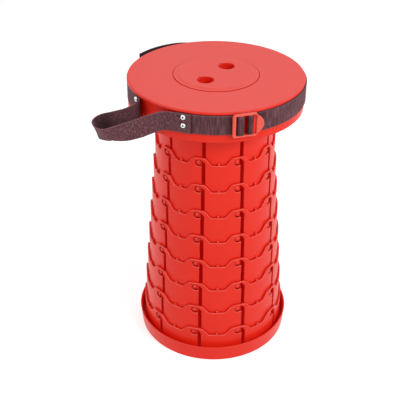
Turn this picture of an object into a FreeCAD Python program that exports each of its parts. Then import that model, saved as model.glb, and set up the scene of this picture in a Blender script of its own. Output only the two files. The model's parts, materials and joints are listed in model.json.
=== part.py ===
import FreeCAD, Part
import math
import os

import Sketcher

# Collapsible telescopic stool: ten nested rings between a base dish and a round seat.
# Millimetres, +Z up, origin on the floor under the middle of the base, the front towards -Y.

RING_COUNT = 10
TURN = 360.0
QUARTER = 90.0

SIZES = [
    # Overall and seat
    ("seat_height", 450.0, "floor to the flat top of the seat"),
    ("seat_radius", 130.4, "outer edge of the seat top"),
    ("seat_plate", 4.0, "thickness of the seat top"),
    ("seat_edge_height", 3.2, "edge of the top above the strap recess"),
    ("seat_edge_round", 2.0, "rounding of the top edge"),
    ("skirt_depth", 44.5, "seat top down to the bottom of the skirt"),
    ("skirt_wall", 2.6, "wall of the skirt behind the strap"),
    ("skirt_clearance", 1.6, "radial gap from skirt to base rim when folded"),
    ("lip_height", 12.1, "lower lip of the skirt"),
    ("lip_reach", 1.5, "lip beyond the recessed wall"),
    # Centre cap
    ("cap_radius", 63.0, "round cap in the middle of the seat"),
    ("cap_gap", 0.4, "gap round the cap"),
    ("cap_plate", 2.4, "thickness of the cap"),
    ("cap_rise", 0.6, "cap rim above the seat top"),
    ("cap_step_radius", 55.5, "raised middle of the cap"),
    ("cap_step_height", 0.5, "rise of the middle of the cap"),
    ("cap_ledge", 5.0, "ledge of the seat under the cap"),
    ("cap_collar_depth", 6.0, "collar of the cap below the ledge"),
    ("cap_collar_wall", 2.0, "wall of the collar"),
    ("cap_bead", 1.0, "snap bead round the collar"),
    ("cap_chamfer", 0.5, "edge of the cap"),
    ("finger_radius", 12.5, "finger holes"),
    ("finger_x", 15.7, "finger hole, sideways from the middle"),
    ("finger_y", 25.2, "finger hole, back from the middle"),
    ("finger_notch_radius", 2.2, "small notch in the edge of a finger hole"),
    ("finger_notch_depth", 2.0, "depth of that notch"),
    ("finger_cup_wall", 2.0, "wall round a finger hole"),
    ("finger_cup_depth", 12.0, "depth of that wall below the cap"),
    # Base
    ("base_radius", 124.3, "base rim at its top"),
    ("base_height", 27.9, "base rim"),
    ("base_wall", 2.2, "wall of the base rim"),
    ("base_flare", 2.5, "how much wider the rim is at its top"),
    ("base_floor", 3.0, "floor of the base"),
    ("base_chamfer", 0.8, "edge of the underside"),
    ("rim_chamfer", 0.6, "edges of the rim"),
    # Rings
    ("ring_radius", 114.9, "outside of the largest ring"),
    ("ring_wall", 2.6, "wall of every ring"),
    ("ring_clearance", 0.855, "radial gap between two rings"),
    ("ring_edge", 45.0, "height of the low top edge of a ring"),
    ("crown_cover", 4.4, "wall above the slot in a crown"),
    ("crown_half_angle", 4.85, "half the flat top of a crown, degrees"),
    ("slope_angle", 6.8, "slope beside a crown, degrees"),
    ("slot_offset_angle", 3.9, "slot from the middle of its crown, degrees"),
    ("front_slot_angle", 24.6, "slot nearest the front, degrees from the front"),
    ("floor_gap", 0.04, "gap left below each folded ring, per stage"),
    # Pins and slots
    ("pin_radius", 3.2, "locking pins"),
    ("pin_height", 5.0, "pin above the bottom of its ring"),
    ("pin_reach", 1.5, "pin into the wall of the next ring"),
    ("pin_sink", 0.15, "pin end to the bottom of its track"),
    ("pin_clearance", 0.45, "pin in its slot"),
    ("pocket_turn", 5.0, "locking pocket from the slot, degrees"),
    ("pocket_half", 4.2, "half the height of a locking pocket"),
    ("pocket_chamfer", 2.4, "corners of a locking pocket"),
    ("lock_rise", 2.74, "pocket above the low edge"),
    ("peg_width", 2.6, "small peg on the low edge"),
    ("peg_height", 2.8, "rise of the peg"),
    ("peg_inset", 0.3, "peg to the faces of its wall"),
    # Flange of the smallest ring and the seat bosses
    ("flange_drop", 12.0, "flange below the underside of the seat"),
    ("flange_wall", 3.0, "thickness of the flange"),
    ("flange_width", 10.0, "reach of the flange inwards"),
    ("boss_radius", 4.2, "seat bosses"),
    ("screw_radius", 1.9, "screw shanks"),
    ("screw_head_radius", 3.4, "screw heads"),
    ("screw_head", 1.3, "height of a screw head"),
    ("screw_gap", 0.1, "screw in its hole"),
    ("screw_bite", 6.0, "screw length in plastic"),
    ("screw_end_gap", 0.5, "room beyond the end of a screw"),
    ("screw_head_sink", 0.3, "screw head below the underside of the base"),
    ("rib_height", 8.0, "ribs under the seat"),
    ("rib_wall", 2.0, "thickness of a rib"),
    ("rib_start", 2.5, "rib to the middle hole of the seat"),
    ("rib_gap", 0.4, "rib to the smallest ring"),
    # Feet of the largest ring
    ("foot_height", 8.0, "feet that hold the largest ring to the base"),
    ("foot_width", 11.0, "feet along the ring"),
    ("foot_gap", 0.6, "foot to the inside of the base rim"),
    # Webbing, rivets and buckle
    ("strap_thickness", 1.5, "webbing"),
    ("strap_gap", 0.3, "gap between layers of webbing"),
    ("strap_side_gap", 0.4, "webbing to the sides of its recess"),
    ("wrap_bend", 1.2, "reach of a bend round a buckle bar"),
    ("rivet_radius", 1.6, "rivet shanks"),
    ("rivet_head_radius", 3.1, "rivet heads"),
    ("rivet_head", 1.2, "height of a rivet head"),
    ("rivet_bore", 1.1, "hollow of the tubular rivets"),
    ("rivet_gap", 0.1, "rivet to what it holds"),
    ("rivet_spacing", 12.2, "between the two rivets of a pair"),
    ("front_rivet_turn", 20.0, "front pair of rivets, left of the front, degrees"),
    ("rear_rivet_turn", 57.9, "rear pair of rivets, left of the front, degrees"),
    ("washer_seat", 0.2, "washer to the inside of the skirt"),
    ("lap_angle", 4.6, "webbing beyond its rivets, degrees"),
    ("rivet_drop", 8.1, "upper rivet below the seat top"),
    ("washer_radius", 3.8, "rivet washers"),
    ("washer_wall", 0.8, "thickness of a washer"),
    ("buckle_turn", 16.75, "buckle from the front, degrees"),
    ("buckle_left", 19.4, "left end of the buckle from its middle"),
    ("buckle_right", 26.0, "tip of the tab from the middle"),
    ("buckle_side_rail", 2.9, "rails above and below the windows"),
    ("buckle_side_gap", 0.1, "webbing to the side rails"),
    ("buckle_slot", 3.4, "outer windows"),
    ("buckle_bar", 5.0, "bars that the webbing goes round"),
    ("buckle_middle", 10.0, "window between the bars"),
    ("buckle_depth", 4.2, "thickness of the buckle"),
    ("buckle_bar_depth", 1.8, "thickness of a bar"),
    ("buckle_gap", 0.4, "webbing to the back of the buckle"),
    ("buckle_round", 4.0, "corners of the tab"),
]

doc = FreeCAD.newDocument("telescopic_stool")
sheet = doc.addObject("Spreadsheet::Sheet", "Sizes")


class Size:
    """A number together with the sheet formula that it comes from."""

    def __init__(self, number, formula):
        self.number = float(number)
        self.formula = formula

    def __add__(self, other):
        other = as_size(other)
        return Size(self.number + other.number, f"({self.formula} + {other.formula})")

    def __sub__(self, other):
        other = as_size(other)
        return Size(self.number - other.number, f"({self.formula} - {other.formula})")

    def __mul__(self, other):
        other = as_size(other)
        return Size(self.number * other.number, f"({self.formula} * {other.formula})")

    def __truediv__(self, other):
        other = as_size(other)
        return Size(self.number / other.number, f"({self.formula} / {other.formula})")

    def __neg__(self):
        return Size(-self.number, f"(-1 * {self.formula})")

    def __radd__(self, other):
        return as_size(other) + self

    def __rsub__(self, other):
        return as_size(other) - self

    def __rmul__(self, other):
        return as_size(other) * self


def as_size(value):
    return value if isinstance(value, Size) else Size(value, repr(float(value)))


def sine(angle):
    return Size(math.sin(math.radians(angle.number)), f"sin({angle.formula} * 1 deg)")


def cosine(angle):
    return Size(math.cos(math.radians(angle.number)), f"cos({angle.formula} * 1 deg)")


def root(size):
    return Size(math.sqrt(size.number), f"sqrt({size.formula})")


class Sheet:
    """Every driving size by its own name."""


S = Sheet()
for row, (alias, number, note) in enumerate(SIZES, start=1):
    sheet.set(f"A{row}", alias)
    sheet.set(f"B{row}", str(number))
    sheet.set(f"C{row}", note)
    sheet.setAlias(f"B{row}", alias)
    setattr(S, alias, Size(number, f"Sizes.{alias}"))
doc.recompute()

# Sizes that follow from the driving ones
RING_STEP = S.ring_wall + S.ring_clearance
RING_PITCH = S.ring_edge + S.lock_rise - S.pin_height
RING_TRAVEL = RING_PITCH - S.floor_gap


def ring_radius(number):
    """Outside of a ring; ring 1 is the smallest and ring 10 the largest."""
    return S.ring_radius - (RING_COUNT - number) * RING_STEP


def ring_bottom(number):
    """Underside of a ring when the stool stands at its full height."""
    return S.base_floor + (RING_COUNT - number) * RING_PITCH


POCKET_HEIGHT = S.ring_edge + S.lock_rise
SLOT_HALF = S.pin_radius + S.pin_clearance
CROWN_TOP = POCKET_HEIGHT + SLOT_HALF + S.crown_cover
PLATE_BOTTOM = S.seat_height - S.seat_plate
SKIRT_BOTTOM = S.seat_height - S.skirt_depth
SKIRT_INNER = S.base_radius + S.skirt_clearance
RECESS_RADIUS = SKIRT_INNER + S.skirt_wall
RECESS_TOP = S.seat_height - S.seat_edge_height
RECESS_BOTTOM = SKIRT_BOTTOM + S.lip_height
STRAP_LOW = RECESS_BOTTOM + S.strap_side_gap
STRAP_HIGH = RECESS_TOP - S.strap_side_gap
FLANGE_TOP = PLATE_BOTTOM - S.flange_drop
CAP_SEAT = S.seat_height + S.cap_rise - S.cap_plate
SLOT_PITCH = TURN / RING_COUNT
SCREW_COUNT = 5
TROUGH_TURN = SLOT_PITCH / 2 - S.slot_offset_angle
FOOT_TURN = S.front_slot_angle + TROUGH_TURN
DISH_INNER = S.base_radius - S.base_flare - S.base_wall
FOOT_REACH = DISH_INNER - S.foot_gap
FOOT_SCREW_CIRCLE = (S.ring_radius - S.ring_wall + FOOT_REACH) / 2
BOSS_CIRCLE = ring_radius(1) - S.ring_wall - S.flange_width / 2
HEAD_SEAT = S.screw_head + S.screw_head_sink
BUCKLE_BACK = RECESS_RADIUS + 2 * (S.strap_gap + S.strap_thickness) + S.buckle_gap
BEYOND = 1.0
ROOTED = 0.5
NOTCH_SIDE = 0.7
ROUND_SIDE = math.sqrt(0.5)
HEAD_SIDES = 12
SHANK_SIDES = 8
HEXAGON_SIDE = math.sqrt(0.75)
DEGREES = math.degrees(1)
CIRCLE_STEP = 20.0
SHORTEST_RUN = 1e-6

# The free end of the belt after it leaves the seat: distance from the axis and angle
TAIL_LEAVES = 97.0
TAIL_BEND = 6.0
TAIL_POINTS = [(138.5, 110.0), (143.0, 117.0), (144.3, 125.0), (144.5, 134.0), (143.6, 145.0)]

# The handle from its front rivets round its loop to its rear rivets: middle of the webbing
# sideways, back and up, and how far its upper edge leans out of the loop, in degrees
HANDLE_LOOP = [
    (-66.0, -117.8, 432.6, 0.0),
    (-80.0, -118.0, 431.5, -4.0),
    (-94.0, -126.0, 429.5, -12.0),
    (-108.0, -133.5, 427.0, -8.0),
    (-122.0, -139.0, 424.5, 2.0),
    (-138.0, -141.0, 421.5, 12.0),
    (-152.0, -137.0, 419.5, 15.0),
    (-163.5, -127.0, 418.5, 15.0),
    (-167.8, -113.0, 418.5, 15.0),
    (-161.5, -100.5, 420.0, 12.0),
    (-147.0, -95.5, 423.0, 9.0),
    (-131.5, -92.0, 427.0, 5.0),
    (-119.5, -87.3, 430.8, 1.0),
    (-111.8, -84.2, 432.0, 0.0),
    (-107.2, -81.9, 432.2, 0.0),
    (-105.2, -79.6, 432.2, 0.0),
]


def bind(item, name, size):
    setattr(item, name, size.number)
    item.setExpression(name, size.formula)


def place(item, height=None, angle=None):
    """Stand a sub-part at a height, turned about the stool's axis."""
    axis = FreeCAD.Vector(0, 0, 1)
    turn = angle.number if angle else 0.0
    rise = height.number if height else 0.0
    item.Placement = FreeCAD.Placement(FreeCAD.Vector(0, 0, rise), FreeCAD.Rotation(axis, turn))
    if height:
        item.setExpression("Placement.Base.z", height.formula)
    if angle:
        item.setExpression("Placement.Rotation.Angle", angle.formula)


def new_body(label):
    body = doc.addObject("PartDesign::Body", label)
    body.Label = label
    return body


def origin_feature(body, role):
    return next(item for item in body.Origin.OriginFeatures if item.Role == role)


def new_sketch(body, name, role="XZ_Plane", turn=None, lift=None):
    """A sketch on an origin plane, swung about the stool's axis and moved off along its normal."""
    sketch = body.newObject("Sketcher::SketchObject", name)
    sketch.AttachmentSupport = [(origin_feature(body, role), "")]
    sketch.MapMode = "FlatFace"
    turn, lift = as_size(turn or 0), as_size(lift or 0)
    upright = role == "XZ_Plane"
    axis = FreeCAD.Vector(0, 1, 0) if upright else FreeCAD.Vector(0, 0, 1)
    across = lift * sine(turn) if upright else as_size(0)
    ahead = lift * cosine(turn) if upright else lift
    if turn.number < 0:
        axis, turn = -axis, -turn
    offset = FreeCAD.Vector(across.number, 0, ahead.number)
    sketch.AttachmentOffset = FreeCAD.Placement(offset, FreeCAD.Rotation(axis, turn.number))
    if turn.number:
        sketch.setExpression("AttachmentOffset.Rotation.Angle", turn.formula)
    if lift.number:
        sketch.setExpression("AttachmentOffset.Base.x", across.formula)
        sketch.setExpression("AttachmentOffset.Base.z", ahead.formula)
    return sketch


def dimension(sketch, kind, arguments, size):
    index = sketch.addConstraint(Sketcher.Constraint(kind, *arguments, size.number))
    sketch.setExpression(f"Constraints[{index}]", size.formula)


def fix_point(sketch, edge, end, point):
    """Tie one end of an edge to its two coordinates."""
    dimension(sketch, "DistanceX", (-1, 1, edge, end), as_size(point[0]))
    dimension(sketch, "DistanceY", (-1, 1, edge, end), as_size(point[1]))


def draw_outline(sketch, points, arcs=None):
    """A closed outline through points; arcs maps an edge's index to (centre, anticlockwise)."""
    arcs = arcs or {}
    vectors = [FreeCAD.Vector(as_size(x).number, as_size(y).number, 0) for x, y in points]
    first = sketch.GeometryCount
    starts = []
    for index, start in enumerate(vectors):
        finish = vectors[(index + 1) % len(vectors)]
        if index in arcs:
            centre, anticlockwise = arcs[index]
            middle = FreeCAD.Vector(as_size(centre[0]).number, as_size(centre[1]).number, 0)
            angles = [math.atan2(p.y - middle.y, p.x - middle.x) for p in (start, finish)]
            low, high = angles if anticlockwise else angles[::-1]
            circle = Part.Circle(middle, FreeCAD.Vector(0, 0, 1), (start - middle).Length)
            sketch.addGeometry(Part.ArcOfCircle(circle, low, high), False)
            starts.append((1, 2) if anticlockwise else (2, 1))
        else:
            sketch.addGeometry(Part.LineSegment(start, finish), False)
            starts.append((1, 2))
    for index in range(len(points)):
        after = (index + 1) % len(points)
        joint = (first + index, starts[index][1], first + after, starts[after][0])
        sketch.addConstraint(Sketcher.Constraint("Coincident", *joint))
        fix_point(sketch, first + index, starts[index][0], points[index])
        if index in arcs:
            radius = arcs_radius(points[index], arcs[index][0])
            dimension(sketch, "Radius", (first + index,), radius)


def arcs_radius(point, centre):
    across = as_size(point[0]) - as_size(centre[0])
    up = as_size(point[1]) - as_size(centre[1])
    return root(across * across + up * up)


def draw_circle(sketch, x, y, radius):
    index = sketch.GeometryCount
    centre = FreeCAD.Vector(as_size(x).number, as_size(y).number, 0)
    sketch.addGeometry(Part.Circle(centre, FreeCAD.Vector(0, 0, 1), radius.number), False)
    fix_point(sketch, index, 3, (x, y))
    dimension(sketch, "Radius", (index,), radius)


def draw_rectangle(sketch, x_low, x_high, y_low, y_high):
    draw_outline(sketch, [(x_low, y_low), (x_high, y_low), (x_high, y_high), (x_low, y_high)])


def revolve(body, name, sketch):
    feature = body.newObject("PartDesign::Revolution", name)
    feature.Profile = sketch
    feature.ReferenceAxis = (sketch, ["V_Axis"])
    feature.Angle = TURN
    body.Tip = feature
    return feature


def pad(body, name, sketch, length, backwards=False):
    feature = body.newObject("PartDesign::Pad", name)
    feature.Profile = sketch
    feature.Reversed = backwards
    bind(feature, "Length", length)
    body.Tip = feature
    return feature


def cut(body, name, sketch, length, backwards=False):
    feature = body.newObject("PartDesign::Pocket", name)
    feature.Profile = sketch
    feature.Reversed = backwards
    bind(feature, "Length", length)
    body.Tip = feature
    return feature


def repeat_round(body, name, feature, count):
    pattern = body.newObject("PartDesign::PolarPattern", name)
    pattern.Originals = [feature]
    pattern.Axis = (origin_feature(body, "Z_Axis"), [""])
    pattern.Angle = TURN
    pattern.Occurrences = count
    body.Tip = pattern
    return pattern


def cut_slots(body, radius):
    """Slots, open at the bottom, that turn aside at the top into a locking pocket."""
    sketch = new_sketch(body, "slot_outline")
    low, high = POCKET_HEIGHT - S.pocket_half, POCKET_HEIGHT + S.pocket_half
    end = -radius * sine(S.pocket_turn) - S.pocket_half
    points = [(-SLOT_HALF, -BEYOND), (SLOT_HALF, -BEYOND), (SLOT_HALF, high),
              (end + S.pocket_chamfer, high), (end, high - S.pocket_chamfer),
              (end, low + S.pocket_chamfer), (end + S.pocket_chamfer, low), (-SLOT_HALF, low)]
    draw_outline(sketch, points)
    slot = cut(body, "slot", sketch, radius + BEYOND, backwards=True)
    repeat_round(body, "slots", slot, RING_COUNT)


def cut_tracks(body, radius):
    """Tracks down the inside of the wall below each pocket, for the pins of the next ring."""
    sketch = new_sketch(body, "track_outline", turn=-S.pocket_turn - QUARTER)
    inner = radius - S.ring_wall
    draw_rectangle(sketch, inner - BEYOND, inner + S.pin_reach + S.pin_sink, -BEYOND, POCKET_HEIGHT)
    track = body.newObject("PartDesign::Groove", "track")
    track.Profile = sketch
    track.ReferenceAxis = (sketch, ["V_Axis"])
    track.Midplane = True
    bind(track, "Angle", 2 * SLOT_HALF / radius * DEGREES)
    body.Tip = track
    repeat_round(body, "tracks", track, RING_COUNT)


def cut_troughs(body, radius):
    """Low stretches of the top edge between the raised crowns."""
    sketch = new_sketch(body, "trough_outline", turn=TROUGH_TURN)
    flat_angle = SLOT_PITCH / 2 - S.crown_half_angle - S.slope_angle
    flat = radius * sine(flat_angle)
    wide = radius * sine(flat_angle + S.slope_angle)
    above = CROWN_TOP + BEYOND
    points = [(-flat, S.ring_edge), (flat, S.ring_edge), (wide, CROWN_TOP),
              (wide, above), (-wide, above), (-wide, CROWN_TOP)]
    draw_outline(sketch, points)
    trough = cut(body, "trough", sketch, radius + BEYOND, backwards=True)
    repeat_round(body, "troughs", trough, RING_COUNT)


def add_pegs(body, radius):
    """A small peg in the middle of each low stretch."""
    sketch = new_sketch(body, "peg_outline", role="XY_Plane", turn=TROUGH_TURN, lift=S.ring_edge - ROOTED)
    half = S.peg_width / 2
    draw_rectangle(sketch, -half, half, S.peg_inset - radius, S.ring_wall - S.peg_inset - radius)
    peg = pad(body, "peg", sketch, S.peg_height + ROOTED)
    repeat_round(body, "pegs", peg, RING_COUNT)


def add_pins(body, radius):
    """Locking pins round the bottom that stand in the pockets of the next ring."""
    root_radius = radius - S.ring_wall / 5
    sketch = new_sketch(body, "pin_outline", turn=-S.pocket_turn, lift=root_radius)
    face, side = S.pin_radius * HEXAGON_SIDE, S.pin_radius / 2
    corners = [(side, -face), (S.pin_radius, 0), (side, face), (-side, face), (-S.pin_radius, 0), (-side, -face)]
    draw_outline(sketch, [(x, S.pin_height + y) for x, y in corners])
    pin = pad(body, "pin", sketch, radius + S.ring_clearance + S.pin_reach - root_radius)
    repeat_round(body, "pins", pin, RING_COUNT)


def build_ring(number):
    """One ring of the telescope, from ring 2 to ring 10, the largest, which has no pins."""
    radius = ring_radius(number)
    body = new_body(f"ring_{number:02d}")
    wall = new_sketch(body, "wall_outline")
    draw_rectangle(wall, radius - S.ring_wall, radius, 0, CROWN_TOP)
    revolve(body, "wall", wall)
    cut_troughs(body, radius)
    cut_slots(body, radius)
    cut_tracks(body, radius)
    add_pegs(body, radius)
    if number < RING_COUNT:
        add_pins(body, radius)
    else:
        add_feet(body, radius)
    place(body, ring_bottom(number), S.front_slot_angle)
    return body


def add_feet(body, radius):
    """Feet outside the largest ring, each with a hole for a base screw."""
    sketch = new_sketch(body, "foot_outline", role="XY_Plane", turn=TROUGH_TURN)
    half = S.foot_width / 2
    draw_rectangle(sketch, -half, half, -FOOT_REACH, S.ring_wall / 2 - radius)
    foot = pad(body, "foot", sketch, S.foot_height)
    repeat_round(body, "feet", foot, SCREW_COUNT)
    bore = new_sketch(body, "foot_bore_outline", role="XY_Plane", turn=TROUGH_TURN)
    draw_circle(bore, 0, -FOOT_SCREW_CIRCLE, S.screw_radius + S.screw_gap)
    hole = cut(body, "foot_bore", bore, S.screw_bite + S.screw_end_gap, backwards=True)
    repeat_round(body, "foot_bores", hole, SCREW_COUNT)


def build_smallest_ring():
    """The ring under the seat: a plain wall with pins, and a flange that the seat screws hold."""
    radius = ring_radius(1)
    inner = radius - S.ring_wall
    bottom = ring_bottom(1)
    top = PLATE_BOTTOM - bottom
    flange_top = FLANGE_TOP - bottom
    flange_low = flange_top - S.flange_wall
    body = new_body("ring_01")
    wall = new_sketch(body, "wall_outline")
    draw_outline(wall, [(inner, 0), (radius, 0), (radius, top), (inner, top), (inner, flange_top),
                        (inner - S.flange_width, flange_top), (inner - S.flange_width, flange_low),
                        (inner, flange_low)])
    revolve(body, "wall", wall)
    add_pins(body, radius)
    sketch = new_sketch(body, "screw_hole_outline", role="XY_Plane", lift=flange_low - BEYOND)
    draw_circle(sketch, 0, -BOSS_CIRCLE, S.screw_radius + S.screw_gap)
    hole = cut(body, "screw_hole", sketch, S.flange_wall + 2 * BEYOND, backwards=True)
    repeat_round(body, "screw_holes", hole, SCREW_COUNT)
    place(body, bottom, S.front_slot_angle)
    return body


def build_base():
    """The dish that the largest ring stands in."""
    body = new_body("base_dish")
    bottom = S.base_radius - S.base_flare
    inner = S.base_radius - S.base_wall
    section = new_sketch(body, "dish_outline")
    edge = S.base_height - S.rim_chamfer
    draw_outline(section, [(0, 0), (bottom - S.base_chamfer, 0), (bottom, S.base_chamfer),
                           (S.base_radius, edge), (S.base_radius - S.rim_chamfer, S.base_height),
                           (inner + S.rim_chamfer, S.base_height), (inner, edge),
                           (DISH_INNER, S.base_floor), (0, S.base_floor)])
    revolve(body, "dish", section)
    recess = new_sketch(body, "head_recess_outline", role="XY_Plane", turn=FOOT_TURN)
    draw_circle(recess, 0, -FOOT_SCREW_CIRCLE, S.screw_head_radius + S.screw_gap)
    pocket = cut(body, "head_recess", recess, HEAD_SEAT, backwards=True)
    repeat_round(body, "head_recesses", pocket, SCREW_COUNT)
    bore = new_sketch(body, "screw_hole_outline", role="XY_Plane", turn=FOOT_TURN)
    draw_circle(bore, 0, -FOOT_SCREW_CIRCLE, S.screw_radius + S.screw_gap)
    hole = cut(body, "screw_hole", bore, S.base_floor + BEYOND, backwards=True)
    repeat_round(body, "screw_holes", hole, SCREW_COUNT)
    return body


def build_seat():
    """The seat top with its skirt, the recess for the strap, screw bosses and ribs."""
    body = new_body("seat")
    hole = S.cap_radius - S.cap_ledge
    lip = RECESS_RADIUS + S.lip_reach
    recess = S.cap_radius + S.cap_gap
    shoulder = S.seat_height - S.seat_edge_round
    inset = S.seat_radius - S.seat_edge_round
    section = new_sketch(body, "seat_outline")
    draw_outline(section, [(hole, PLATE_BOTTOM), (SKIRT_INNER, PLATE_BOTTOM), (SKIRT_INNER, SKIRT_BOTTOM),
                           (lip, SKIRT_BOTTOM), (lip, RECESS_BOTTOM), (RECESS_RADIUS, RECESS_BOTTOM),
                           (RECESS_RADIUS, RECESS_TOP), (S.seat_radius, RECESS_TOP),
                           (S.seat_radius, shoulder),
                           (inset + ROUND_SIDE * S.seat_edge_round, shoulder + ROUND_SIDE * S.seat_edge_round),
                           (inset, S.seat_height),
                           (recess, S.seat_height), (recess, CAP_SEAT), (hole, CAP_SEAT)])
    revolve(body, "seat_shell", section)
    boss_outline = new_sketch(body, "boss_outline", role="XY_Plane", turn=S.front_slot_angle, lift=FLANGE_TOP)
    draw_circle(boss_outline, 0, -BOSS_CIRCLE, S.boss_radius)
    boss = pad(body, "boss", boss_outline, S.flange_drop + ROOTED)
    repeat_round(body, "bosses", boss, SCREW_COUNT)
    bore_outline = new_sketch(body, "bore_outline", role="XY_Plane", turn=S.front_slot_angle,
                              lift=FLANGE_TOP - BEYOND)
    draw_circle(bore_outline, 0, -BOSS_CIRCLE, S.screw_radius + S.screw_gap)
    bore = cut(body, "bore", bore_outline, S.screw_bite + S.screw_end_gap + BEYOND, backwards=True)
    repeat_round(body, "bores", bore, SCREW_COUNT)
    rib_outline = new_sketch(body, "rib_outline", role="XY_Plane", turn=S.front_slot_angle + SLOT_PITCH / 2,
                             lift=PLATE_BOTTOM - S.rib_height)
    outer = ring_radius(1) - S.ring_wall - S.rib_gap
    draw_rectangle(rib_outline, -S.rib_wall / 2, S.rib_wall / 2, -outer, -hole - S.rib_start)
    rib = pad(body, "rib", rib_outline, S.rib_height + ROOTED)
    repeat_round(body, "ribs", rib, RING_COUNT)
    for index, (turn, height) in enumerate(rivet_places()):
        outline = new_sketch(body, f"rivet_hole_outline_{index}", turn=turn)
        draw_circle(outline, 0, height, S.rivet_radius + S.rivet_gap)
        cut(body, f"rivet_hole_{index}", outline, RECESS_RADIUS + BEYOND, backwards=True)
    return body


def build_cap():
    """The cap that closes the middle of the seat, with its two finger holes and a snap-in collar."""
    body = new_body("centre_cap")
    outer = S.cap_radius - S.cap_ledge - S.cap_gap
    inner = outer - S.cap_collar_wall
    low = PLATE_BOTTOM - S.cap_collar_depth
    rim = S.seat_height + S.cap_rise
    top = rim + S.cap_step_height
    bead = PLATE_BOTTOM - S.cap_gap
    section = new_sketch(body, "cap_outline")
    draw_outline(section, [(0, CAP_SEAT), (inner, CAP_SEAT), (inner, low), (outer, low),
                           (outer, bead - 2 * S.cap_bead), (outer + S.cap_bead, bead - S.cap_bead),
                           (outer, bead), (outer, CAP_SEAT), (S.cap_radius, CAP_SEAT),
                           (S.cap_radius, rim - S.cap_chamfer), (S.cap_radius - S.cap_chamfer, rim),
                           (S.cap_step_radius + S.cap_step_height, rim), (S.cap_step_radius, top), (0, top)])
    revolve(body, "cap_shell", section)
    cups = new_sketch(body, "finger_cup_outline", role="XY_Plane", lift=CAP_SEAT - S.finger_cup_depth)
    holes = new_sketch(body, "finger_hole_outline", role="XY_Plane", lift=top + BEYOND)
    notches = new_sketch(body, "notch_outline", role="XY_Plane", lift=top + BEYOND)
    for side in (-1, 1):
        x, y = side * S.finger_x, side * S.finger_y
        draw_circle(cups, x, y, S.finger_radius + S.finger_cup_wall)
        draw_circle(holes, x, y, S.finger_radius)
        draw_circle(notches, x - S.finger_radius * NOTCH_SIDE, y + S.finger_radius * NOTCH_SIDE, S.finger_notch_radius)
    pad(body, "finger_cups", cups, S.finger_cup_depth + ROOTED)
    cut(body, "finger_holes", holes, S.finger_cup_depth + S.cap_plate + 3 * BEYOND)
    cut(body, "finger_notches", notches, S.finger_notch_depth + BEYOND)
    return body


def turned(shape, size):
    """A copy turned about the stool's axis."""
    copy = shape.copy()
    copy.rotate(FreeCAD.Vector(0, 0, 0), FreeCAD.Vector(0, 0, 1), size)
    return copy


def add_group(label, shapes):
    """Several identical pieces, each a solid of its own, under one name."""
    return add_piece(label, Part.makeCompound(shapes))


def prism(radius, sides, start, way):
    """A many-sided bar from a point, as long as the way that it goes."""
    ring = Part.Circle(start, way, radius.number)
    corners = [ring.value(2 * math.pi * index / sides) for index in range(sides + 1)]
    return Part.Face(Part.makePolygon(corners[:-1] + corners[:1])).extrude(way)


def screw_shape(circle, seat_height, length):
    """A screw that points up, its head hanging below the seat of the head."""
    centre = FreeCAD.Vector(0, -circle.number, seat_height.number)
    head = prism(S.screw_head_radius, HEAD_SIDES, centre, FreeCAD.Vector(0, 0, -S.screw_head.number))
    shank = prism(S.screw_radius, SHANK_SIDES, centre, FreeCAD.Vector(0, 0, length.number))
    return head.fuse(shank).removeSplitter().Solids[0]


def build_screws():
    pitch = TURN / SCREW_COUNT
    seat = screw_shape(BOSS_CIRCLE, FLANGE_TOP - S.flange_wall, S.flange_wall + S.screw_bite)
    base = screw_shape(FOOT_SCREW_CIRCLE, HEAD_SEAT, S.base_floor - HEAD_SEAT + S.screw_bite)
    seat_turns = [S.front_slot_angle.number + pitch * index for index in range(SCREW_COUNT)]
    base_turns = [FOOT_TURN.number + pitch * index for index in range(SCREW_COUNT)]
    return [add_group("seat_screws", [turned(seat, turn) for turn in seat_turns]),
            add_group("base_screws", [turned(base, turn) for turn in base_turns])]


def rivet_places():
    """Each rivet's turn from the front and its height."""
    upper = S.seat_height - S.rivet_drop
    return [(turn, height) for turn in (-S.front_rivet_turn, -S.rear_rivet_turn)
            for height in (upper, upper - S.rivet_spacing)]


def outward_prism(radius, sides, near, far, height):
    """A bar that points to the front, from one distance off the axis to another."""
    return prism(radius, sides, FreeCAD.Vector(0, -near.number, height.number),
                 FreeCAD.Vector(0, -(far - near).number, 0))


def outward_hole(radius, near, far, height):
    """A round bar that is cut away for a rivet."""
    start = FreeCAD.Vector(0, -near.number, height.number)
    return Part.makeCylinder(radius.number, (far - near).number, start, FreeCAD.Vector(0, -1, 0))


def build_rivets():
    """Tubular rivets through the webbing and the skirt, and the washers behind them."""
    rivets, washers = [], []
    washer_back = SKIRT_INNER - S.washer_wall - S.washer_seat
    for index, (turn, height) in enumerate(rivet_places()):
        layers = 3 if index < 2 else 2
        seat = layer_face(layers) + S.rivet_gap
        back = washer_back - S.rivet_gap
        head = outward_prism(S.rivet_head_radius, HEAD_SIDES, seat, seat + S.rivet_head, height)
        shank = outward_prism(S.rivet_radius, SHANK_SIDES, back, seat + S.rivet_head, height)
        tail = outward_prism(S.rivet_radius + S.rivet_bore, HEAD_SIDES, back - S.rivet_head / 2, back, height)
        bore = outward_prism(S.rivet_bore, SHANK_SIDES, back - S.rivet_head, seat + 2 * S.rivet_head, height)
        rivets.append(turned(head.fuse([shank, tail]).cut(bore).removeSplitter().Solids[0], turn.number))
        disc = outward_prism(S.washer_radius, HEAD_SIDES, washer_back, washer_back + S.washer_wall, height)
        hole = outward_prism(S.rivet_radius + 2 * S.rivet_gap, SHANK_SIDES, washer_back - BEYOND, SKIRT_INNER, height)
        washers.append(turned(disc.cut(hole).Solids[0], turn.number))
    return [add_group("strap_rivets", rivets), add_group("rivet_washers", washers)]


def layer_face(layers):
    """Outside of so many layers of webbing on the recessed wall."""
    return RECESS_RADIUS + layers * (S.strap_gap + S.strap_thickness)


def layer_middle(layer):
    return layer_face(layer) - S.strap_thickness / 2


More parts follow.
